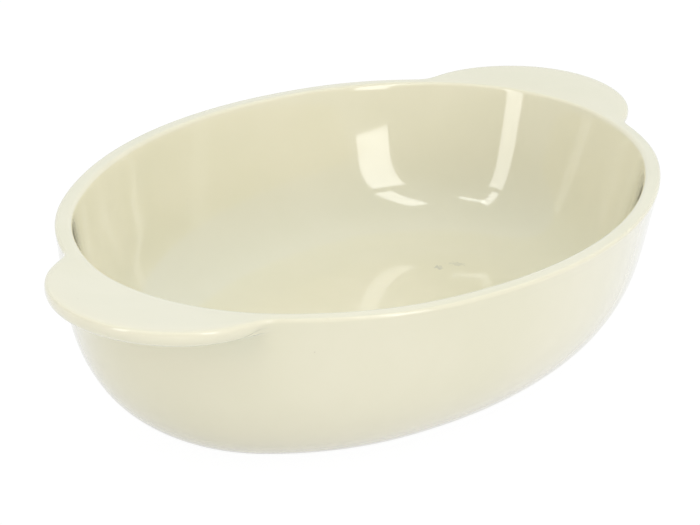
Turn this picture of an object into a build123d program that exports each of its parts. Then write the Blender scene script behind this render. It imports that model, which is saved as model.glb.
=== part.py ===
from build123d import *
import os
from dataclasses import dataclass
from math import atan2, cos, degrees, pi, radians, sin, sqrt, tan

# Oval gratin dish of glazed stoneware: one pressed clay piece with two level lugs, glazed all over
# but for the ring that it stands on. Millimetres, measured over the glaze. The origin is on the
# table under the middle of the dish, X runs from lug to lug and Z points up.

# Rim, wall and floor
rim_length = 294.0
rim_width = 196.0
dish_height = 66.0
wall = 6.0
wall_draft = radians(9.5)
floor_thickness = 6.4
base_radius = 40.0
corner_radius = base_radius - wall

# The oval is drawn with eight tangent arcs. The end arc's radius is a share of the end radius that
# an ellipse of the same length and width has. The two angles are where one arc gives way to the next.
end_radius_share = 1.04
end_arc_stops = radians(35.0)
shoulder_arc_stops = radians(64.5)

# Rim and lugs have soft edges. A lug's edge is a full round, so the lug is two of these radii thick.
edge_radius_share = 0.45
edge_radius = edge_radius_share * wall

# Lugs: level with the rim, drawn with a tip arc, a flank arc on each side and a hollow root arc
lug_reach = 28.0
lug_tip_radius = 39.0
lug_flank_radius = 50.0
lug_root_radius = 12.0
tip_arc_stops = radians(25.0)

# The root runs into the rim almost tangent. It sinks by a share of what a lug's round edge leaves of
# half the wall, so that lug and rim meet in a clean line.
lug_root_sink_share = 0.6
lug_root_sink = lug_root_sink_share * (wall / 2 - edge_radius)

# Under a lug a hollow fillet fills the angle between the plate and the wall. It runs out towards the
# lug's edge at this taper.
lug_fillet = 4.5
lug_fillet_taper = radians(45.0)

# Foot ring: the band of bare clay that the dish stands on, with its edges rubbed down
foot_height = 1.6
foot_width = 6.0
foot_set_back = 2.0
foot_bevel = 0.5

# How far the wall's section runs on under the floor before the flat floor takes over
floor_seam = 1.0

floor_top = foot_height + floor_thickness


@dataclass(frozen=True)
class Arc:
    """One arc of an outline seen from above. A hollow arc has a negative radius."""

    x: float
    y: float
    radius: float
    start: float
    end: float

    def point(self, angle, inset=0.0):
        """The point whose outward normal is at this angle, moved inwards by the inset."""
        reach = self.radius - inset
        return Vector(self.x + reach * cos(angle), self.y + reach * sin(angle))

    def edge(self, inset=0.0):
        middle = (self.start + self.end) / 2
        ends = self.point(self.start, inset), self.point(self.end, inset)
        return ThreePointArc(ends[0], self.point(middle, inset), ends[1])


def oval(length, width):
    """The three arcs of a quarter of an oval, from its end on +X to its side on +Y.

    The end radius is given. The other two follow, because the arcs are tangent to each other and
    the last one crosses the Y axis square, at the oval's width.
    """
    a = length / 2
    b = width / 2
    end = end_radius_share * b * b / a
    c1, s1 = cos(end_arc_stops), sin(end_arc_stops)
    c2, s2 = cos(shoulder_arc_stops), sin(shoulder_arc_stops)
    across = a - end * (1 - c1)
    up = b - end * s1
    scale = (c1 - c2) * (1 - s2) - c2 * (s2 - s1)
    shoulder = (across * (1 - s2) - c2 * up) / scale
    side = ((c1 - c2) * up - (s2 - s1) * across) / scale
    shoulder_x = a - end - (shoulder - end) * c1
    shoulder_y = -(shoulder - end) * s1
    return [
        Arc(a - end, 0, end, 0, end_arc_stops),
        Arc(shoulder_x, shoulder_y, shoulder, end_arc_stops, shoulder_arc_stops),
        Arc(0, b - side, side, shoulder_arc_stops, pi / 2),
    ]


def circles_meet(first, first_reach, second, second_reach):
    """The two points at the given distances from the middles of two arcs, or none."""
    gap = Vector(second.x - first.x, second.y - first.y)
    along = (gap.length**2 + first_reach**2 - second_reach**2) / (2 * gap.length)
    if abs(along) > first_reach:
        return []
    aside = sqrt(first_reach**2 - along**2)
    ahead = gap.normalized()
    between = Vector(first.x, first.y) + ahead * along
    across = Vector(-ahead.Y, ahead.X)
    return [between + across * aside, between - across * aside]


def lug_outline(rim):
    """The tip, flank and root arcs of half a lug, and the angle where the root meets the rim."""
    tip = Arc(rim_length / 2 + lug_reach - lug_tip_radius, 0, lug_tip_radius, 0, tip_arc_stops)
    step = lug_flank_radius - lug_tip_radius
    flank_x = tip.x - step * cos(tip_arc_stops)
    flank_y = -step * sin(tip_arc_stops)
    flank = Arc(flank_x, flank_y, lug_flank_radius, tip_arc_stops, pi / 2)
    flank_reach = lug_flank_radius + lug_root_radius
    for side in rim:
        rim_reach = side.radius + lug_root_radius - lug_root_sink
        for place in circles_meet(side, rim_reach, flank, flank_reach):
            on_rim = atan2(place.Y - side.y, place.X - side.x)
            if place.Y > 0 and side.start <= on_rim <= side.end:
                on_flank = atan2(place.Y - flank.y, place.X - flank.x)
                flank = Arc(flank.x, flank.y, flank.radius, tip_arc_stops, on_flank)
                root = Arc(place.X, place.Y, -lug_root_radius, on_flank, on_rim)
                return [tip, flank, root], on_rim
    raise ValueError("the lug's flank doesn't cross the rim")


def turned(section, arc):
    """The solid that a section makes as it follows one arc. Its own X is 0 on the outline."""
    low, high = sorted((arc.start, arc.end))
    place = Plane(origin=arc.point(low), x_dir=(cos(low), sin(low), 0), z_dir=(sin(low), -cos(low), 0))
    return revolve(place * section, Axis((arc.x, arc.y, 0), (0, 0, 1)), degrees(high - low))


def along(section, arcs):
    """The section carried along several arcs, joined into one solid."""
    pieces = [turned(section, arc) for arc in arcs]
    whole = pieces[0]
    for piece in pieces[1:]:
        whole = whole + piece
    return whole


def mirrored(piece, plane):
    return piece + mirror(piece, about=plane)


def oval_plate(arcs, inset, bottom, top):
    """A flat plate that fills an oval."""
    quarter = [arc.edge(inset) for arc in arcs]
    half = quarter + [mirror(edge, about=Plane.XZ) for edge in quarter]
    face = make_face(half + [mirror(edge, about=Plane.YZ) for edge in half])
    return extrude(Pos(0, 0, bottom) * face, amount=top - bottom)


def in_wall(depth, z):
    """A point of the section at a depth square to the wall's outer face, at a height."""
    inward = Vector(-cos(wall_draft), sin(wall_draft))
    down = Vector(-sin(wall_draft), -cos(wall_draft))
    rim_round = Vector(-edge_radius, dish_height - edge_radius)
    start = rim_round + inward * (depth - edge_radius)
    return start + down * ((start.Y - z) / cos(wall_draft))


def bend(centre, radius, first, last):
    """An arc of the section between two directions from its centre."""
    middle = (first + last).normalized()
    return ThreePointArc(centre + first * radius, centre + middle * radius, centre + last * radius)


def wall_section():
    """The wall cut square across, from the rim down to the flat floor, and how far in it ends."""
    up = Vector(0, 1)
    inward = Vector(-cos(wall_draft), sin(wall_draft))
    outer_edge = in_wall(edge_radius, dish_height - edge_radius)
    inner_edge = in_wall(wall - edge_radius, dish_height - edge_radius)
    base_bend = in_wall(base_radius, foot_height + base_radius)
    corner = in_wall(wall + corner_radius, floor_top + corner_radius)
    seam = min(base_bend.X, corner.X) - floor_seam
    floor_end = Vector(seam, floor_top)
    base_end = Vector(seam, foot_height)
    outline = [
        Line(outer_edge + up * edge_radius, inner_edge + up * edge_radius),
        bend(inner_edge, edge_radius, up, inward),
        Line(inner_edge + inward * edge_radius, corner - inward * corner_radius),
        bend(corner, corner_radius, -inward, -up),
        Line(corner - up * corner_radius, floor_end),
        Line(floor_end, base_end),
        Line(base_end, base_bend - up * base_radius),
        bend(base_bend, base_radius, -up, -inward),
        Line(base_bend - inward * base_radius, outer_edge - inward * edge_radius),
        bend(outer_edge, edge_radius, -inward, up),
    ]
    return make_face(outline), -seam


def bowl(rim):
    """The slanted wall all round and the flat floor that it runs into."""
    section, seam = wall_section()
    quarter = along(section, rim)
    wall_all_round = mirrored(mirrored(quarter, Plane.XZ), Plane.YZ)
    return wall_all_round + oval_plate(rim, seam, foot_height, floor_top)


def under_rim(rim, root_on_rim):
    """The stretch of the rim's arcs that half a lug grows out of."""
    carried = [arc for arc in rim if arc.start < root_on_rim]
    return [Arc(arc.x, arc.y, arc.radius, arc.start, min(arc.end, root_on_rim)) for arc in carried]


def lug_area(outline, in_rim, inset, seat):
    """A lug seen from above, with its outline moved in and its back a seat's depth inside the rim."""
    last = in_rim[-1]
    across_root = Line(last.point(last.end, inset + lug_root_sink), last.point(last.end, seat))
    half = [arc.edge(inset) for arc in outline] + [across_root] + [arc.edge(seat) for arc in in_rim]
    return make_face(half + [mirror(edge, about=Plane.XZ) for edge in half])


def edged_plate(outline, in_rim, edge_section, inset, seat, bottom, top):
    """A plate of the lug's shape whose outer edge has the given section, as deep as the inset."""
    plate = extrude(Pos(0, 0, bottom) * lug_area(outline, in_rim, inset, seat), amount=top - bottom)
    return plate + mirrored(along(edge_section, outline), Plane.XZ)


def lug(outline, in_rim):
    """One lug on +X: a flat plate with a full round edge. It starts inside the wall."""
    up = Vector(0, 1)
    middle = Vector(-edge_radius, dish_height - edge_radius)
    nose = middle + Vector(edge_radius, 0)
    top = middle + up * edge_radius
    bottom = middle - up * edge_radius
    round_edge = make_face([ThreePointArc(top, nose, bottom), Line(bottom, top)])
    return edged_plate(outline, in_rim, round_edge, edge_radius, wall / 2, bottom.Y, top.Y)


def lug_support(outline, in_rim):
    """The fillet under one lug, swept along the wall and cut back so that it ends inside the lug."""
    up = Vector(0, 1)
    inward = Vector(-cos(wall_draft), sin(wall_draft))
    under = dish_height - 2 * edge_radius
    top = under + edge_radius
    hollow = in_wall(-lug_fillet, under - lug_fillet)
    low = hollow + inward * lug_fillet
    in_clay = in_wall(wall / 2, low.Y)
    section = make_face([
        bend(hollow, lug_fillet, inward, up),
        Line(hollow + up * lug_fillet, Vector(hollow.X, top)),
        Line(Vector(hollow.X, top), Vector(-wall / 2, top)),
        Line(Vector(-wall / 2, top), in_clay),
        Line(in_clay, low),
    ])
    band = mirrored(along(section, in_rim), Plane.XZ)
    drop = edge_radius + lug_fillet
    back = drop * tan(lug_fillet_taper)
    lip = Vector(0, top)
    foot = Vector(-back, top - drop)
    wedge = make_face([Line(lip, foot), Line(foot, Vector(-back, top)), Line(Vector(-back, top), lip)])
    return band & edged_plate(outline, in_rim, wedge, back, 2 * wall + back, top - drop, top)


def foot_ring():
    """The band that the dish stands on, set back from where the base starts to bend up."""
    inset = foot_set_back - in_wall(base_radius, foot_height + base_radius).X
    outside = oval(rim_length - 2 * inset, rim_width - 2 * inset)
    ring = oval_plate(outside, 0, 0, foot_height) - oval_plate(outside, foot_width, 0, foot_height)
    edges_below = ring.edges().group_by(Axis.Z)[0]
    return chamfer(edges_below, foot_bevel)


def main():
    rim = oval(rim_length, rim_width)
    outline, root_on_rim = lug_outline(rim)
    in_rim = under_rim(rim, root_on_rim)
    dish = bowl(rim) + mirrored(lug_support(outline, in_rim), Plane.YZ)
    dish = dish + mirrored(lug(outline, in_rim), Plane.YZ)
    os.makedirs("parts", exist_ok=True)
    export_step(dish, "parts/glazed_dish.step")
    export_step(foot_ring(), "parts/foot_ring.step")


main()
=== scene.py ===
# %% [markdown]
# # An oval gratin dish in ivory glaze
# The dish is one piece of pressed stoneware: a flat floor, a slanted wall that is equally thick all
# round, and two broad lugs beside the rim. Glossy ivory glaze covers all of it, except
# the narrow ring that it stands on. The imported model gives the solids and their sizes. This script
# makes the surface that is seen, its glaze, and the picture.

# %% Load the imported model
from math import atan2, cos, pi, radians, sin, sqrt, tan

import bpy
from mathutils import Matrix, Vector


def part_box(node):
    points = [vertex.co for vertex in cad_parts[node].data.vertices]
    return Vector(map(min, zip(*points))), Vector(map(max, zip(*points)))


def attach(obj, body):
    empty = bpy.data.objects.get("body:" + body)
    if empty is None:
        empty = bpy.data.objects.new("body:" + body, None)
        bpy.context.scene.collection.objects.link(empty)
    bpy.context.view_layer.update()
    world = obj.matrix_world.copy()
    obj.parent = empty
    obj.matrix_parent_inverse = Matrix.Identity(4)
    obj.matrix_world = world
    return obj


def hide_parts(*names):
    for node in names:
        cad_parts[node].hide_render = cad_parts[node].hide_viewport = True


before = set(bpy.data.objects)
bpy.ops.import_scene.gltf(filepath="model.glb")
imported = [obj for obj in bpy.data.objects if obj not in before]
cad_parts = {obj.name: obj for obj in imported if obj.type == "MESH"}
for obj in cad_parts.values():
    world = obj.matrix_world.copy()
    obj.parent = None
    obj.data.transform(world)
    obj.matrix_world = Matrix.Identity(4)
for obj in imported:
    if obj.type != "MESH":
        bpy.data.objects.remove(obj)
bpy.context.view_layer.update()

# %% [markdown]
# ## The sizes of the dish
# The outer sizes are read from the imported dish, so that the surface always fits it. The others are
# what a potter would measure on the real one. All lengths are in metres.

# %% Sizes
MM = 0.001

dish_low, dish_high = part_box("glazed_dish")
length_over_lugs = dish_high[0] - dish_low[0]
rim_width = dish_high[1] - dish_low[1]
rim_height = dish_high[2]
foot_height = dish_low[2]

lug_reach = 28 * MM
rim_length = length_over_lugs - 2 * lug_reach
wall = 6 * MM
wall_draft = radians(9.5)
edge_radius = 2.7 * MM
inner_edge_radius = 1.8 * MM
top_edge_radius = 1.1 * MM
lug_under_radius = 2.5 * MM
lug_side_lean = radians(8)
floor_thickness = 6.4 * MM
floor_crown = 0.25 * MM
base_radius = 40 * MM
corner_radius = base_radius - wall
lug_fillet = 4.5 * MM
lug_rise = 2.4 * MM
inner_rim_lean = radians(11)
inner_foot_lean = radians(20)
print(f"over the lugs {length_over_lugs / MM:.1f} mm")
print(f"rim {rim_length / MM:.1f} x {rim_width / MM:.1f} mm")

# %% [markdown]
# ## The oval, drawn with arcs
# A pressed dish gets its oval from a plaster mould, and a mould maker draws an oval with arcs that
# run into each other. A scaled circle would do too, but then the wall's thickness would change along
# it, while arcs can be moved in by any distance and stay arcs. Three arcs make a quarter of the oval.

# %% The rim's arcs
end_radius_share = 1.04
end_arc_stops = radians(35)
shoulder_arc_stops = radians(64.5)


def arc_point(arc, angle):
    """The point of an arc (x, y, radius, first and last angle) whose outward normal has this angle."""
    x, y, radius = arc[:3]
    return Vector((x + radius * cos(angle), y + radius * sin(angle), 0))


def rim_arcs(length, width):
    """A quarter of the oval, from its end on +X to the middle of its side on +Y."""
    a, b = length / 2, width / 2
    end = end_radius_share * b * b / a
    c1, s1 = cos(end_arc_stops), sin(end_arc_stops)
    c2, s2 = cos(shoulder_arc_stops), sin(shoulder_arc_stops)
    across, up = a - end * (1 - c1), b - end * s1
    scale = (c1 - c2) * (1 - s2) - c2 * (s2 - s1)
    shoulder = (across * (1 - s2) - c2 * up) / scale
    side = ((c1 - c2) * up - (s2 - s1) * across) / scale
    shoulder_x, shoulder_y = a - end - (shoulder - end) * c1, -(shoulder - end) * s1
    return [
        (a - end, 0, end, 0, end_arc_stops),
        (shoulder_x, shoulder_y, shoulder, end_arc_stops, shoulder_arc_stops),
        (0, b - side, side, shoulder_arc_stops, pi / 2),
    ]


rim = rim_arcs(rim_length, rim_width)
print("rim radii:", [round(arc[2] / MM, 1) for arc in rim], "mm")

# %% [markdown]
# ## The line round a lug
# Seen from above, a lug has a round tip, a nearly straight flank and a small hollow root that runs
# into the rim without a kink. The hollow arc touches both the flank and the rim, so its centre is
# where two circles cross. Lugs shaped by hand are never quite alike: in the photograph one side of
# the near lug is narrower than the rest, so that side gets a line of its own.

# %% The lug's arcs
usual_side = (39 * MM, 50 * MM, 12 * MM, radians(25))
narrow_side = (34 * MM, 52 * MM, 12 * MM, radians(61))


def lug_arcs(tip_radius, flank_radius, root_radius, tip_stops):
    """The tip, flank and hollow root of half a lug, and the angle where the root meets the rim."""
    tip_x = length_over_lugs / 2 - tip_radius
    step = flank_radius - tip_radius
    flank_x, flank_y = tip_x - step * cos(tip_stops), -step * sin(tip_stops)
    for x, y, radius, first, last in rim:
        near, far = radius + root_radius, flank_radius + root_radius
        gap = Vector((flank_x - x, flank_y - y, 0))
        along = (gap.length ** 2 + near ** 2 - far ** 2) / (2 * gap.length)
        if abs(along) > near:
            continue
        ahead = gap.normalized()
        aside = Vector((-ahead.y, ahead.x, 0)) * sqrt(near ** 2 - along ** 2)
        foot_point = Vector((x, y, 0)) + ahead * along
        for centre in (foot_point + aside, foot_point - aside):
            on_rim = atan2(centre.y - y, centre.x - x)
            if centre.y > 0 and first <= on_rim <= last:
                on_flank = atan2(centre.y - flank_y, centre.x - flank_x)
                tip = (tip_x, 0, tip_radius, 0, tip_stops)
                flank = (flank_x, flank_y, flank_radius, tip_stops, on_flank)
                root = (centre.x, centre.y, -root_radius, on_flank, on_rim)
                return [tip, flank, root], on_rim
    raise ValueError("the lug's flank doesn't cross the rim")


for side in (usual_side, narrow_side):
    turned = lug_arcs(*side)[1] * 180 / pi
    print(f"a root meets the rim where its normal has turned {turned:.1f} degrees")

# %% [markdown]
# ## Rows round the dish
# The surface is a net of rows and columns, as a basket maker would weave it. A row is one cut square
# through the wall. It needs to know where the rim is, where the outer line is (on the lug's edge, or
# on the rim where there is no lug), and which way both face. Rows stand closer at the lug's roots,
# because the shape changes quickest there.

# %% Rows
lug_rows = 20
side_rows = 16
lug_row_ratio = 3.0
side_row_ratio = 4.5


def arcs_length(arcs):
    return sum(abs(radius * (last - first)) for _, _, radius, first, last in arcs)


def walk(arcs, distance):
    """The point and the outward normal after walking this far along some arcs."""
    for arc in arcs:
        radius, first, last = arc[2:]
        whole = abs(radius * (last - first))
        if distance <= whole or arc is arcs[-1]:
            angle = first + (last - first) * min(distance / whole, 1)
            return arc_point(arc, angle), Vector((cos(angle), sin(angle), 0))
        distance -= whole


def graded(count, ratio):
    """Shares from 0 to 1 whose steps grow evenly, the last one being `ratio` times the first."""
    growth = sqrt(ratio) ** (2 / max(count - 1, 1))
    steps = [growth ** i for i in range(count)]
    return [sum(steps[:i]) / sum(steps) for i in range(count + 1)]


def quarter_rows(lug_line, root_on_rim):
    """Rows from the tip of the lug on +X to the middle of the side on +Y."""
    under_lug = [arc for arc in rim if arc[3] < root_on_rim]
    x, y, radius, first, _ = under_lug[-1]
    under_lug[-1] = (x, y, radius, first, root_on_rim)
    rows = []
    for share in graded(lug_rows, lug_row_ratio):
        share = 1 - share
        rim_point, rim_normal = walk(under_lug, arcs_length(under_lug) * share)
        outer_point, outer_normal = walk(lug_line, arcs_length(lug_line) * share)
        rows.insert(0, (rim_point, rim_normal, outer_point, outer_normal))
    beyond = arcs_length(rim) - arcs_length(under_lug)
    for share in graded(side_rows, side_row_ratio)[1:]:
        rim_point, rim_normal = walk(rim, arcs_length(under_lug) + beyond * share)
        rows.append((rim_point, rim_normal, rim_point, rim_normal))
    return rows


def flipped(row, x, y):
    return tuple(Vector((v.x * x, v.y * y, 0)) for v in row)


usual = quarter_rows(*lug_arcs(*usual_side))
narrow = quarter_rows(*lug_arcs(*narrow_side))
ring = usual + [flipped(row, -1, 1) for row in reversed(usual[:-1])]
ring += [flipped(row, -1, -1) for row in narrow[1:]]
ring += [flipped(row, 1, -1) for row in reversed(usual[1:-1])]
print(len(ring), "rows round the dish")

# %% [markdown]
# The rows become a plain closed line. What each row knows is stored on its points as attributes, so
# that the node tree can read it.

# %% The line that carries the rows
def rows_mesh(rows):
    line = bpy.data.meshes.new("rows")
    line.from_pydata([row[0] for row in rows], [(i, (i + 1) % len(rows)) for i in range(len(rows))], [])
    for name, place in (("rim_normal", 1), ("outer_point", 2), ("outer_normal", 3)):
        values = line.attributes.new(name, "FLOAT_VECTOR", "POINT")
        for i, row in enumerate(rows):
            values.data[i].vector = row[place]
    return line


rows_line = rows_mesh(ring)
print("stored:", [a.name for a in rows_line.attributes])

# %% [markdown]
# ## Formulas as nodes
# A node tree for a shape with a rule is mostly arithmetic, and long chains of Math nodes are hard to
# read. So a small class stands for one number in a tree: adding or multiplying two of them adds the
# Math node that does it. The tree that comes out is the same as one wired by hand.

# %% Numbers and arrows in a node tree
def wire(value, socket):
    """Joins a formula to a socket, or writes a plain value into it."""
    if isinstance(value, Formula):
        value.socket.id_data.links.new(value.socket, socket)
    elif value is not None:
        socket.default_value = value


def work_out(kind, operation, values, output=0):
    tree = next(value.socket.id_data for value in values if isinstance(value, Formula))
    node = tree.nodes.new(kind)
    node.operation = operation
    for value, socket in zip(values, node.inputs):
        wire(value, socket)
    return node.outputs[output]


class Formula:
    """One value in a node tree, known by the socket that it comes out of."""

    def __init__(self, socket):
        self.socket = socket


class Number(Formula):
    def do(self, operation, *others):
        return Number(work_out("ShaderNodeMath", operation, (self,) + others))

    def __add__(self, other):
        return self.do("ADD", other)

    def __sub__(self, other):
        return self.do("SUBTRACT", other)

    def __mul__(self, other):
        return self.do("MULTIPLY", other)

    def __truediv__(self, other):
        return self.do("DIVIDE", other)

    def __neg__(self):
        return self * -1

    def between(self, first, last, at_first=0, at_last=1, ease="LINEAR"):
        """Runs from one value to another as this number goes from first to last, and stops there."""
        node = self.socket.id_data.nodes.new("ShaderNodeMapRange")
        node.interpolation_type = ease
        for value, socket in zip((self, first, last, at_first, at_last), node.inputs):
            wire(value, socket)
        return Number(node.outputs[0])


class Arrow(Formula):
    """A vector in a node tree."""

    def do(self, operation, *others):
        return Arrow(work_out("ShaderNodeVectorMath", operation, (self,) + others))

    def __add__(self, other):
        return self.do("ADD", other)

    def __sub__(self, other):
        return self.do("SUBTRACT", other)

    def times(self, number):
        node = self.socket.id_data.nodes.new("ShaderNodeVectorMath")
        node.operation = "SCALE"
        wire(self, node.inputs[0])
        wire(number, node.inputs["Scale"])
        return Arrow(node.outputs[0])

    def to(self, other, share):
        return self + (other - self).times(share)

    def length(self):
        return Number(work_out("ShaderNodeVectorMath", "LENGTH", (self,), "Value"))

    def parts(self):
        node = self.socket.id_data.nodes.new("ShaderNodeSeparateXYZ")
        wire(self, node.inputs[0])
        return [Number(socket) for socket in node.outputs]


def arrow(tree, x, y, z):
    node = tree.nodes.new("ShaderNodeCombineXYZ")
    for value, socket in zip((x, y, z), node.inputs):
        wire(value, socket)
    return Arrow(node.outputs[0])


print("formulas ready")

# %% [markdown]
# ## The section of the wall
# Cut square across, the wall is a chain of round arcs with straight runs between them: the hollow
# corner inside, the inner edge of the rim, the outer edge, and the bend under the wall. Each arc owns
# some columns and stays at its end point outside them. Going over from one arc to the next in the
# columns between them then draws the straight run by itself. Inside, that run is a little hollow and
# leans more towards the foot, as the strips of light on it show. Where there is a lug, the chain goes
# out to the lug's line, turns down over a crisp edge, comes back under a rounder one and meets the
# wall in a small fillet. That is a second chain over the same columns, and a row passes from the
# first chain to the second as its lug gets wider. Where it ends, the first chain keeps the same
# columns close under the rim, so that the lug rises into the rim as it fades. The net is smoothed
# at the end, which draws every arc a little tighter, so the arcs are made wider by the same amount.

# %% Columns and sizes of the tree
columns = 42
floor_columns = 5
corner = (5, 10)
inner_edge = (14, 17)
bare_edge = (19, 23)
lug_edge = (20, 22)
lug_under = (23, 25)
lug_hollow = (27, 29)
base_bend = (31, 36)
smoothing_levels = 2
seed = 7

tree_sizes = {
    "Height": rim_height,
    "Foot Height": foot_height,
    "Floor Top": foot_height + floor_thickness,
    "Floor Crown": floor_crown,
    "Wall": wall,
    "Wall Draft": wall_draft,
    "Inner Rim Lean": inner_rim_lean,
    "Inner Foot Lean": inner_foot_lean,
    "Edge Radius": edge_radius,
    "Inner Edge Radius": inner_edge_radius,
    "Top Edge Radius": top_edge_radius,
    "Lug Under Radius": lug_under_radius,
    "Lug Side Lean": lug_side_lean,
    "Corner Radius": corner_radius,
    "Base Radius": base_radius,
    "Lug Reach": lug_reach,
    "Lug Rise": lug_rise,
    "Lug Fillet": lug_fillet,
    "Fillet Share": 0.4,
    "Lug Starts": 1 * MM,
    "Lug Is Whole": 8 * MM,
    "Waviness": 0.12 * MM,
    "Wave Length": 55 * MM,
}
print(columns, "columns,", len(tree_sizes), "named sizes")


# %% The two chains of arcs
def section(tree, size, column, fillet, with_lug):
    """An arrow of inset, height, and whether the inset counts from the rim (0) or the outer line (1)."""
    draft, edge = size["Wall Draft"], size["Edge Radius"]
    lean_cos, lean_sin, lean_tan = draft.do("COSINE"), draft.do("SINE"), draft.do("TANGENT")
    quarter_turn = pi / 2

    def inset(depth, height):
        """How far in from the rim a point is that lies this deep in the slanted wall, at a height."""
        past_edge = -edge + depth
        below_edge = size["Height"] - edge + past_edge * lean_sin - height
        return edge + past_edge * lean_cos + below_edge * lean_tan

    def arc(owned, centre, height, radius, first, last, line, steps_angle):
        angle = column.between(owned[0], owned[1], first, last)
        drawn = radius * (3 / (2 + cos(steps_angle / (owned[1] - owned[0]))))
        return arrow(tree, centre - drawn * angle.do("COSINE"), height + drawn * angle.do("SINE"), line)

    def carry_on(so_far, last_column, next_arc, first_column):
        return so_far.to(next_arc, column.between(last_column, first_column))

    turn = pi / 2 - wall_draft
    rim_lean, foot_lean = size["Inner Rim Lean"], size["Inner Foot Lean"]
    corner_size, inner = size["Corner Radius"], size["Inner Edge Radius"]
    lip = size["Height"] - inner
    lip_centre = inset(size["Wall"] - inner, lip)
    corner_height = corner_size * (-foot_lean.do("SINE") + 1)
    drop = lip + inner * rim_lean.do("SINE") - size["Floor Top"] - corner_height
    lean = (rim_lean + foot_lean) / 2
    run_ends = lip_centre + inner * rim_lean.do("COSINE") + drop * lean.do("TANGENT")
    centre = run_ends + corner_size * foot_lean.do("COSINE")
    level = size["Floor Top"] + corner_size
    chain = arc(corner, centre, level, corner_size, -quarter_turn, -foot_lean, 0, turn)
    run = arc(inner_edge, lip_centre, lip, inner, -rim_lean + pi, quarter_turn, 0, turn)
    chain = carry_on(chain, corner[1], run, inner_edge[0])
    way = column.between(corner[1], inner_edge[0])
    belly = drop * (foot_lean - rim_lean) / 2 * way * (-way + 1)
    chain = chain + arrow(tree, -belly, -belly * lean.do("TANGENT"), 0)
    flat = -draft + pi
    crisp = size["Top Edge Radius"]
    top = size["Height"] - crisp

    if with_lug:
        side, under = size["Lug Side Lean"], size["Lug Under Radius"]
        upper = arc(lug_edge, crisp, top, crisp, quarter_turn, -side, 1, pi / 2)
        chain = carry_on(chain, inner_edge[1], upper, lug_edge[0])
        level = size["Height"] - edge * 2 + under
        centre = crisp + (top - level) * side.do("TANGENT") + (under - crisp) / side.do("COSINE")
        lower = arc(lug_under, centre, level, under, -side, -quarter_turn, 1, pi / 2)
        chain = carry_on(chain, lug_edge[1], lower, lug_under[0])
        level = size["Height"] - edge * 2 - fillet
        meets_wall = arc(lug_hollow, inset(-fillet, level), level, fillet, quarter_turn, flat, 0, turn)
        chain = carry_on(chain, lug_under[1], meets_wall, lug_hollow[0])
    else:
        upper = arc(bare_edge, inset(crisp, top), top, crisp, quarter_turn, -draft, 1, pi - turn)
        chain = carry_on(chain, inner_edge[1], upper, bare_edge[0])
        level = size["Height"] - edge * 2
        on_wall = arrow(tree, inset(0, level), level, 0)
        chain = carry_on(chain, bare_edge[1], on_wall, lug_hollow[1])

    base = size["Base Radius"]
    level = size["Foot Height"] + base
    bend = arc(base_bend, inset(base, level), level, base, -draft, -quarter_turn, 0, turn)
    return carry_on(chain, lug_hollow[1], bend, base_bend[0])


# %% The tree
def socket_named(sockets, name):
    return next(socket for socket in sockets if socket.name == name and socket.enabled)


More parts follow.
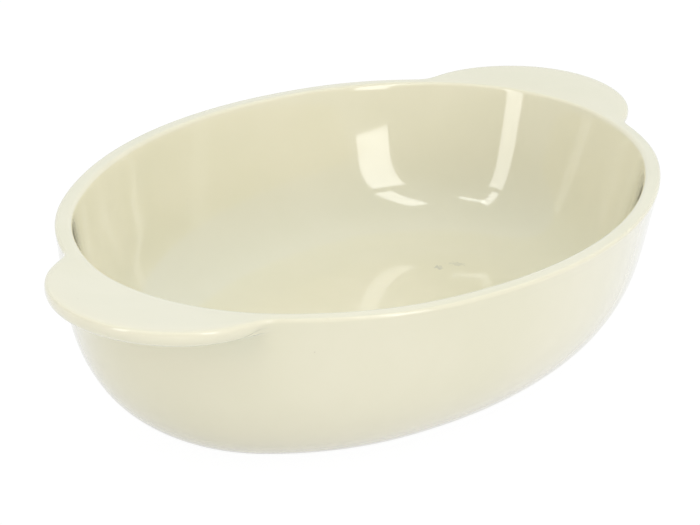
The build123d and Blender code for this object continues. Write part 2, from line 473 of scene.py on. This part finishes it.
def dish_tree():
    tree = bpy.data.node_groups.new("carry_section_round_dish", "GeometryNodeTree")
    tree.is_modifier = True
    tree.interface.new_socket("Rows", in_out="INPUT", socket_type="NodeSocketGeometry")
    for name in tree_sizes:
        tree.interface.new_socket(name, in_out="INPUT", socket_type="NodeSocketFloat")
    tree.interface.new_socket("Smoothing Levels", in_out="INPUT", socket_type="NodeSocketInt")
    tree.interface.new_socket("Seed", in_out="INPUT", socket_type="NodeSocketInt")
    tree.interface.new_socket("Glaze", in_out="INPUT", socket_type="NodeSocketMaterial")
    tree.interface.new_socket("Dish", in_out="OUTPUT", socket_type="NodeSocketGeometry")
    nodes, links = tree.nodes, tree.links
    given = nodes.new("NodeGroupInput")
    size = {name: Number(given.outputs[name]) for name in tree_sizes}

    net = nodes.new("GeometryNodeMeshGrid")
    net.inputs["Vertices X"].default_value = len(ring) + 1
    net.inputs["Vertices Y"].default_value = columns
    index = Number(nodes.new("GeometryNodeInputIndex").outputs[0])
    row = (index / columns).do("FLOOR")
    column = index - row * columns
    row = row.do("FLOORED_MODULO", len(ring))

    def of_row(name):
        """What the row of a point knows under this name."""
        if name:
            value = nodes.new("GeometryNodeInputNamedAttribute")
            value.data_type = "FLOAT_VECTOR"
            value.inputs["Name"].default_value = name
            value = value.outputs[0]
        else:
            value = nodes.new("GeometryNodeInputPosition").outputs[0]
        sample = nodes.new("GeometryNodeSampleIndex")
        sample.data_type = "FLOAT_VECTOR"
        links.new(given.outputs["Rows"], sample.inputs["Geometry"])
        links.new(value, socket_named(sample.inputs, "Value"))
        wire(row, sample.inputs["Index"])
        return Arrow(socket_named(sample.outputs, "Value"))

    rim_point, outer_point = of_row(None), of_row("outer_point")
    reach = (outer_point - rim_point).length()
    fillet = size["Lug Fillet"].do("MINIMUM", reach * size["Fillet Share"])
    lug_share = reach.between(size["Lug Starts"], size["Lug Is Whole"], ease="SMOOTHSTEP")
    bare = section(tree, size, column, fillet, False)
    lugged = section(tree, size, column, fillet, True)
    inset, height, line = bare.to(lugged, lug_share).parts()

    facing = of_row("rim_normal").to(of_row("outer_normal"), line).do("NORMALIZE")
    place = rim_point.to(outer_point, line) - facing.times(inset)
    to_floor_middle = column.between(0, floor_columns)
    to_base_middle = column.between(base_bend[1], columns - 1, 1, 0)
    place = place.times(to_floor_middle * to_base_middle)
    crown = size["Floor Crown"] * (to_floor_middle * to_floor_middle * -1 + 1)
    rise = size["Lug Rise"] * reach / size["Lug Reach"] * line
    place = place + arrow(tree, 0, 0, height + crown + rise)

    placed = nodes.new("GeometryNodeSetPosition")
    links.new(net.outputs["Mesh"], placed.inputs["Geometry"])
    wire(place, placed.inputs["Position"])
    geometry = placed.outputs["Geometry"]

    def store(geometry, name, value):
        node = nodes.new("GeometryNodeStoreNamedAttribute")
        node.data_type = "FLOAT"
        node.inputs["Name"].default_value = name
        links.new(geometry, node.inputs["Geometry"])
        wire(value, socket_named(node.inputs, "Value"))
        return node.outputs["Geometry"]

    def near(first, last, fade):
        """1 on some columns, fading to 0 over a few columns on both sides."""
        return column.between(first - fade, first) * column.between(last, last + fade, 1, 0)

    edges = near(inner_edge[0] + 1, inner_edge[1] - 1, 2) + near(lug_edge[0], lug_edge[1], 1)
    geometry = store(geometry, "thin_glaze", edges)
    hollows = near(corner[0] + 1, corner[1] - 2, 3) + near(lug_hollow[0], lug_hollow[1], 1) * lug_share
    geometry = store(geometry, "pooled_glaze", hollows)
    geometry = store(geometry, "by_the_foot", near(base_bend[1], base_bend[1] + 1, 1))

    merged = nodes.new("GeometryNodeMergeByDistance")
    merged.inputs["Distance"].default_value = 0.01 * MM
    links.new(geometry, merged.inputs["Geometry"])
    smoothed = nodes.new("GeometryNodeSubdivisionSurface")
    links.new(merged.outputs["Geometry"], smoothed.inputs["Mesh"])
    links.new(given.outputs["Smoothing Levels"], smoothed.inputs["Level"])

    noise = nodes.new("ShaderNodeTexNoise")
    noise.noise_dimensions = "4D"
    noise.inputs["Detail"].default_value = 1
    wire(Number(given.outputs["Seed"]), noise.inputs["W"])
    wire(size["Wave Length"].do("POWER", -1), noise.inputs["Scale"])
    swing = (Number(noise.outputs[0]) - 0.5) * 2
    normal = Arrow(nodes.new("GeometryNodeInputNormal").outputs[0])
    waved = nodes.new("GeometryNodeSetPosition")
    links.new(smoothed.outputs["Mesh"], waved.inputs["Geometry"])
    wire(normal.times(swing * size["Waviness"]), waved.inputs["Offset"])

    shade = nodes.new("GeometryNodeSetShadeSmooth")
    links.new(waved.outputs["Geometry"], shade.inputs["Geometry"])
    real = nodes.new("GeometryNodeRealizeInstances")
    links.new(shade.outputs["Geometry"], real.inputs["Geometry"])
    glaze = nodes.new("GeometryNodeSetMaterial")
    links.new(real.outputs["Geometry"], glaze.inputs["Geometry"])
    links.new(given.outputs["Glaze"], glaze.inputs["Material"])
    output = nodes.new("NodeGroupOutput")
    links.new(glaze.outputs["Geometry"], output.inputs["Dish"])
    return tree


carry_section = dish_tree()
print("the tree has", len(carry_section.nodes), "nodes")

# %% [markdown]
# ## The glaze
# Ivory glaze is glass with a little white and iron in it. It is thin on sharp edges, where the warmer
# clay shows through, and pools in hollows, where it looks cooler and slightly green. The surface is
# glossy with a soft waviness, a few pinholes and fine specks of iron.

# %% Shading helpers
def material_with_shader(name):
    material = bpy.data.materials.new(name)
    material.use_nodes = True
    return material, material.node_tree, material.node_tree.nodes["Principled BSDF"]


def colour_mix(tree, share, first, second):
    """Goes from the first colour to the second. A colour is four numbers or another mix's socket."""
    node = tree.nodes.new("ShaderNodeMix")
    node.data_type = "RGBA"
    wire(share, node.inputs[0])
    for value, socket in ((first, node.inputs[6]), (second, node.inputs[7])):
        if isinstance(value, bpy.types.NodeSocket):
            tree.links.new(value, socket)
        else:
            socket.default_value = value
    return node.outputs[2]


def noise_of(tree, coordinates, grain, detail=2, roughness=0.5):
    """A cloudy pattern whose patches are about this many metres across."""
    node = tree.nodes.new("ShaderNodeTexNoise")
    tree.links.new(coordinates, node.inputs["Vector"])
    node.inputs["Scale"].default_value = 1 / grain
    node.inputs["Detail"].default_value = detail
    node.inputs["Roughness"].default_value = roughness
    return Number(node.outputs[0])


def dots_of(tree, coordinates, spacing, radius_share, kept_share):
    """Small round dots, one at most in each cell of this size, of which only a share is kept."""
    cells = tree.nodes.new("ShaderNodeTexVoronoi")
    tree.links.new(coordinates, cells.inputs["Vector"])
    cells.inputs["Scale"].default_value = 1 / spacing
    size = Arrow(cells.outputs["Color"]).parts()
    dot = Number(cells.outputs["Distance"]).between(radius_share * 0.5, radius_share, 1, 0)
    return dot * size[0].do("LESS_THAN", kept_share) * (size[1] * 0.6 + 0.4)


def bump_on(tree, height, depth, strength, normal=None):
    node = tree.nodes.new("ShaderNodeBump")
    wire(height, node.inputs["Height"])
    node.inputs["Distance"].default_value = depth
    node.inputs["Strength"].default_value = strength
    if normal:
        tree.links.new(normal, node.inputs["Normal"])
    return node.outputs[0]


def attribute_of(tree, name):
    node = tree.nodes.new("ShaderNodeAttribute")
    node.attribute_name = name
    return Number(node.outputs["Fac"])


# %% The ivory glaze
ivory = (0.835, 0.785, 0.610, 1)
ivory_deep = (0.810, 0.765, 0.580, 1)
warm_edge = (0.860, 0.795, 0.615, 1)
cool_pool = (0.760, 0.755, 0.590, 1)
toasted = (0.520, 0.370, 0.220, 1)
iron_speck = (0.300, 0.230, 0.150, 1)
scuff_grey = (0.420, 0.420, 0.400, 1)


# Two small grey marks on the floor of the dish, as a metal spoon leaves them.
mark_turn = 0.49
metal_marks = [
    # place, length, width, strength
    ((70.7 * MM, 4.7 * MM, 8 * MM), 6.0 * MM, 3.2 * MM, 0.5),
    ((79.1 * MM, 0.5 * MM, 8 * MM), 5.0 * MM, 7.5 * MM, 0.3),
]

cloud_grain, cloud_shine_grain = 45 * MM, 30 * MM
edge_grain, foot_line_grain, fine_grain = 9 * MM, 5 * MM, 2.2 * MM
speck_spacing, pinhole_spacing = 6 * MM, 9 * MM
swell_grain, swell_depth = 16 * MM, 0.35 * MM
peel_depth, pinhole_depth = 0.02 * MM, 0.15 * MM


def mark_at(tree, coordinates, place, length, width):
    """A ragged spot: 1 in the middle and 0 outside an ellipse of this length and width."""
    turn = tree.nodes.new("ShaderNodeMapping")
    turn.vector_type = "TEXTURE"
    turn.inputs["Location"].default_value = place
    turn.inputs["Rotation"].default_value = (0, 0, mark_turn)
    turn.inputs["Scale"].default_value = (length / 2, width / 2, 4 * MM)
    tree.links.new(coordinates, turn.inputs["Vector"])
    ragged = noise_of(tree, coordinates, 1.3 * MM, 3).between(0.3, 0.7, -0.5, 0.5)
    return (Arrow(turn.outputs[0]).length() + ragged).between(0.5, 1.0, 1, 0)


def ivory_glaze():
    material, tree, shader = material_with_shader("ivory_glaze")
    where = tree.nodes.new("ShaderNodeTexCoord").outputs["Object"]
    clouds = noise_of(tree, where, cloud_grain, 3)
    colour = colour_mix(tree, clouds.between(0.35, 0.65), ivory, ivory_deep)
    colour = colour_mix(tree, attribute_of(tree, "pooled_glaze") * 0.3, colour, cool_pool)
    thin = attribute_of(tree, "thin_glaze") * (noise_of(tree, where, edge_grain, 3) * 0.8 + 0.3)
    colour = colour_mix(tree, thin * 0.6, colour, warm_edge)
    patches = noise_of(tree, where, foot_line_grain, 4).between(0.35, 0.6, 0.3, 1)
    foot_line = attribute_of(tree, "by_the_foot") * patches
    colour = colour_mix(tree, foot_line * 0.8, colour, toasted)
    specks = dots_of(tree, where, speck_spacing, 0.035, 0.10)
    colour = colour_mix(tree, specks * 0.45, colour, iron_speck)
    for place, length, width, strength in metal_marks:
        mark = mark_at(tree, where, place, length, width)
        colour = colour_mix(tree, mark * strength, colour, scuff_grey)
    tree.links.new(colour, shader.inputs["Base Color"])

    fine = noise_of(tree, where, fine_grain, 3)
    rough = noise_of(tree, where, cloud_shine_grain, 4).between(0.3, 0.7, 0.05, 0.09) + fine * 0.02
    wire(rough + foot_line * 0.2, shader.inputs["Roughness"])
    shader.inputs["IOR"].default_value = 1.5
    shader.inputs["Coat Weight"].default_value = 1
    shader.inputs["Coat Roughness"].default_value = 0.04

    swell = bump_on(tree, noise_of(tree, where, swell_grain, 1), swell_depth, 0.35)
    peel = bump_on(tree, fine, peel_depth, 0.35, swell)
    pinholes = dots_of(tree, where, pinhole_spacing, 0.03, 0.12)
    tree.links.new(bump_on(tree, -pinholes, pinhole_depth, 0.6, peel), shader.inputs["Normal"])
    return material


glaze = ivory_glaze()
print("glaze:", len(glaze.node_tree.nodes), "nodes")

# %% [markdown]
# ## Making the dish
# The tree is put on the line of rows as a modifier, gets its sizes, and runs once. Its result becomes
# a plain mesh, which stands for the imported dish.

# %% Run the tree
def made_by(tree, line, name, values):
    carrier = bpy.data.objects.new(name + "_rows", line)
    bpy.context.collection.objects.link(carrier)
    modifier = carrier.modifiers.new("tree", "NODES")
    modifier.node_group = tree
    for item in tree.interface.items_tree:
        if item.in_out == "INPUT" and item.name in values:
            modifier[item.identifier] = values[item.name]
    worked_out = bpy.context.evaluated_depsgraph_get()
    mesh = bpy.data.meshes.new_from_object(
        carrier.evaluated_get(worked_out), preserve_all_data_layers=True, depsgraph=worked_out
    )
    carrier.modifiers.remove(modifier)
    bpy.data.objects.remove(carrier)
    piece = bpy.data.objects.new(name, mesh)
    mesh.name = name
    bpy.context.collection.objects.link(piece)
    return piece


values = dict(tree_sizes)
values["Smoothing Levels"] = smoothing_levels
values["Seed"] = seed
values["Glaze"] = glaze
dish = made_by(carry_section, rows_line, "dish_glazed", values)


def inside_volume(mesh):
    """Signed volume: above zero when the faces point outwards."""
    mesh.calc_loop_triangles()
    corners = mesh.vertices
    return sum(
        corners[t.vertices[0]].co.dot(corners[t.vertices[1]].co.cross(corners[t.vertices[2]].co)) / 6
        for t in mesh.loop_triangles
    )


volume = inside_volume(dish.data)
if volume < 0:
    dish.data.flip_normals()
print(f"{len(dish.data.loop_triangles)} triangles, {volume * 1e6:.1f} ml of clay")
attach(dish, "root")
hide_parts("glazed_dish")

# %% [markdown]
# ## The bare foot
# The ring that the dish stands on is wiped clean before firing, or the glaze would weld it to the
# kiln shelf. Bare stoneware is dry and sandy, darker and browner than the glaze, with specks of iron.
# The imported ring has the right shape, so it only gets its finish.

# %% Bare stoneware
clay_light = (0.560, 0.440, 0.310, 1)
clay_dark = (0.430, 0.320, 0.215, 1)
rubbed_grey = (0.470, 0.430, 0.380, 1)
sand_grain, sand_depth = 0.8 * MM, 0.12 * MM
clay_cloud_grain, rubbed_grain, clay_speck_spacing = 12 * MM, 6 * MM, 2.4 * MM


def bare_stoneware():
    material, tree, shader = material_with_shader("bare_stoneware")
    where = tree.nodes.new("ShaderNodeTexCoord").outputs["Object"]
    sand = noise_of(tree, where, sand_grain, 4, 0.65)
    clouds = noise_of(tree, where, clay_cloud_grain, 3)
    colour = colour_mix(tree, clouds.between(0.35, 0.65), clay_light, clay_dark)
    colour = colour_mix(tree, sand.between(0.45, 0.7) * 0.35, colour, clay_dark)
    specks = dots_of(tree, where, clay_speck_spacing, 0.12, 0.3)
    colour = colour_mix(tree, specks * 0.8, colour, iron_speck)
    height = Arrow(where).parts()[2]
    patches = noise_of(tree, where, rubbed_grain, 3).between(0.35, 0.6)
    rubbed = height.between(0.05 * MM, 0.6 * MM, 1, 0) * patches
    colour = colour_mix(tree, rubbed * 0.6, colour, rubbed_grey)
    tree.links.new(colour, shader.inputs["Base Color"])
    wire(sand.between(0.3, 0.7, 0.72, 0.92) - rubbed * 0.12, shader.inputs["Roughness"])
    tree.links.new(bump_on(tree, sand, sand_depth, 0.8), shader.inputs["Normal"])
    return material


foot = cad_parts["foot_ring"]
foot.data.materials.clear()
foot.data.materials.append(bare_stoneware())
print("foot ring finished")

# %% [markdown]
# ## Floor and backdrop
# The dish was photographed on a white sweep. The floor is a pale sheet that shows white to the camera
# but still takes a faint shadow where the dish stands. Mirrored in the glaze it is a little darker,
# so that the lower outline of the dish stays crisp.

# %% Floor
floor_size = 6.0
floor_grey = (0.76, 0.76, 0.76, 1)
floor_glow = 0.94
glow_in_mirrors = 0.7
glow_strength = 1.04


def floor_material():
    material, tree, shader = material_with_shader("white_floor")
    shader.inputs["Base Color"].default_value = floor_grey
    shader.inputs["Roughness"].default_value = 0.9
    rays = tree.nodes.new("ShaderNodeLightPath").outputs
    mirrored = Number(rays["Is Glossy Ray"]) * glow_in_mirrors
    seen = Number(rays["Is Camera Ray"]).do("MAXIMUM", mirrored)
    seen = seen.do("MAXIMUM", Number(rays["Is Transmission Ray"]))
    glow = tree.nodes.new("ShaderNodeEmission")
    glow.inputs["Color"].default_value = (1, 1, 1, 1)
    glow.inputs["Strength"].default_value = glow_strength
    mix = tree.nodes.new("ShaderNodeMixShader")
    wire(seen * floor_glow, mix.inputs[0])
    tree.links.new(shader.outputs[0], mix.inputs[1])
    tree.links.new(glow.outputs[0], mix.inputs[2])
    tree.links.new(mix.outputs[0], tree.nodes["Material Output"].inputs["Surface"])
    return material


floor_mesh = bpy.data.meshes.new("floor")
half = floor_size / 2
floor_corners = [(-half, -half, 0), (half, -half, 0), (half, half, 0), (-half, half, 0)]
floor_mesh.from_pydata(floor_corners, [], [(0, 1, 2, 3)])
floor = bpy.data.objects.new("floor", floor_mesh)
bpy.context.collection.objects.link(floor)
floor_mesh.materials.append(floor_material())

# %% World
camera_side_light = 0.45
room_light = 0.68
sweep_light = 0.83
seen_light = 1.05
room_tint = (0.96, 1, 0.99, 1)
away_from_camera = (0.88, 0.47, 0)


def light_the_world(tree):
    """A pale room that is dark round the camera, with a bright sweep behind the dish."""
    background = tree.nodes["Background"]
    background.inputs["Color"].default_value = room_tint
    direction = Arrow(tree.nodes.new("ShaderNodeTexCoord").outputs["Generated"])
    both = (direction, away_from_camera)
    facing = Number(work_out("ShaderNodeVectorMath", "DOT_PRODUCT", both, "Value"))
    light = facing.between(-0.75, -0.5, camera_side_light, room_light)
    light = light + facing.between(0, 0.8, 0, sweep_light - room_light)
    rays = tree.nodes.new("ShaderNodeLightPath").outputs
    seen = Number(rays["Is Camera Ray"]).do("MAXIMUM", Number(rays["Is Transmission Ray"]))
    wire(seen.between(0, 1, light, seen_light), background.inputs["Strength"])


world = bpy.data.worlds.new("studio")
bpy.context.scene.world = world
world.use_nodes = True
light_the_world(world.node_tree)
print("floor and world set")

# %% [markdown]
# ## Camera
# The camera stands to the right of the dish's length and looks down at it. Its place was worked out
# from the outline of the dish in the photograph: the rim's oval, the lugs and the foot.

# %% Camera
view_azimuth = radians(-62.03)
view_elevation = radians(21.43)
view_roll = radians(3.59)
view_distance = 836.8 * MM
view_target = Vector((2.90 * MM, 9.64 * MM, 30 * MM))
focal_pixels = 2201.6
photo_width = 700
sensor_width = 36


def camera_at(azimuth, elevation, roll, distance, target):
    back = Vector((sin(azimuth) * cos(elevation), -cos(azimuth) * cos(elevation), sin(elevation)))
    right = Vector((cos(azimuth), sin(azimuth), 0))
    up = back.cross(right)
    rolled_right = right * cos(roll) + up * sin(roll)
    rolled_up = -right * sin(roll) + up * cos(roll)
    turned = Matrix((rolled_right, rolled_up, back)).transposed()
    camera = bpy.data.objects.new("camera", bpy.data.cameras.new("camera"))
    camera.matrix_world = Matrix.Translation(target + back * distance) @ turned.to_4x4()
    return camera


camera = camera_at(view_azimuth, view_elevation, view_roll, view_distance, view_target)
camera.data.sensor_width = sensor_width
camera.data.sensor_fit = "HORIZONTAL"
camera.data.lens = focal_pixels * sensor_width / photo_width
camera.data.clip_start = 10 * MM
bpy.context.collection.objects.link(camera)
bpy.context.scene.camera = camera
bpy.context.scene.view_settings.view_transform = "Standard"
print(f"lens {camera.data.lens:.1f} mm")

# %% [markdown]
# ## Light
# Two tall soft boxes stand left and right of the camera. Each shows as a pale strip on the far wall
# inside the dish, and the strips' places there say where the boxes stood: a ray from the camera is
# mirrored at the wall, and its compass direction and its height above the table are the box's. The
# small boxes above them make the bright tail and the hook under the strips. Three weak fills lift the
# shaded sides and don't show as reflections.

# %% Lamps
def soft_box(name, seen_from, compass, elevation, wide, tall, glow, distance=1.3, mirrored=True):
    """A box that faces a point of the dish, as wide and tall as these angles make it look from there."""
    towards = Vector((
        sin(radians(compass)) * cos(radians(elevation)),
        -cos(radians(compass)) * cos(radians(elevation)),
        sin(radians(elevation)),
    ))
    lamp = bpy.data.lights.new(name, "AREA")
    lamp.shape = "RECTANGLE"
    lamp.size = 2 * distance * tan(radians(wide / 2))
    lamp.size_y = 2 * distance * tan(radians(tall / 2))
    lamp.energy = glow * pi * lamp.size * lamp.size_y
    box = bpy.data.objects.new(name, lamp)
    box.location = Vector(seen_from) + towards * distance
    box.rotation_euler = (-towards).to_track_quat("-Z", "Y").to_euler()
    box.visible_glossy = mirrored
    bpy.context.collection.objects.link(box)
    return box


by_right_strip = (103 * MM, 57 * MM, 35 * MM)
by_left_strip = (137 * MM, 8 * MM, 40 * MM)
dish_middle = (0, 0, 0)

strips = [
    # name, the place that mirrors it, compass, elevation, width and height in degrees, glow
    ("right_box", by_right_strip, -13.5, 24, 14, 29, 3.2),
    ("left_box", by_left_strip, -98, 19, 12, 39, 2.7),
    ("right_upper_box", by_right_strip, -7, 55, 7, 22, 3),
    ("left_upper_box", by_left_strip, -101, 54, 6, 20, 3),
    ("left_upper_bar", by_left_strip, -80, 61, 18, 4, 3),
]
fills = [
    # name, what it faces, compass, elevation, width and height in degrees, glow, distance
    ("ceiling", dish_middle, -62, 89, 60, 60, 0.45, 1.6),
    ("side_fill", dish_middle, 20, 25, 40, 30, 0.55, 1.3),
    ("front_fill", dish_middle, -45, 8, 50, 12, 1.5, 1.3),
]
for strip in strips:
    soft_box(*strip)
for fill in fills:
    soft_box(*fill, mirrored=False)
print("lamps set")
